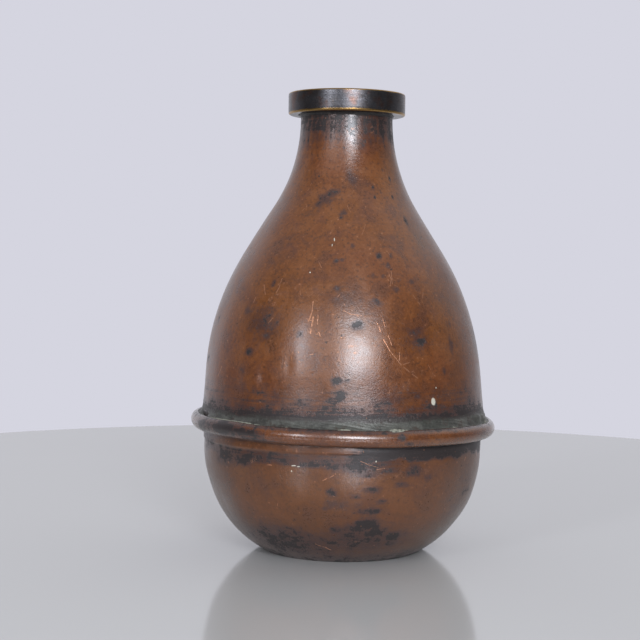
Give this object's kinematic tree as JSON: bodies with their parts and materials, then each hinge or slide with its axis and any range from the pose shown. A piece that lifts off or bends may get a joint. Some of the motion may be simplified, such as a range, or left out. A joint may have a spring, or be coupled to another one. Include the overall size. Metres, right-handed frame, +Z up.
{
  "type": "water bottle",
  "caption": "Raised copper bottle with a slender neck, a full belly seated in a round bowl with a rolled bead at the waist, and a flat brass collar at the mouth.",
  "frame": {"origin": "centre of the base, on the surface that the bottle stands on", "axes": "+Z up along the bottle's axis, towards the mouth; +X and +Y are any two directions across it"},
  "size_m": [0.095, 0.095, 0.1423],
  "materials": {
    "aged_copper": "brown patina, worn satin",
    "dark_brass": "dark tarnish, edges worn bright",
    "grey_solder": "dull and lumpy, with green corrosion"
  },
  "bodies": {
    "root": {"upper_body": "aged_copper", "lower_bowl": "aged_copper", "seam_solder": "grey_solder", "mouth_collar": "dark_brass", "collar_solder": "grey_solder"}
  },
  "joints": []
}
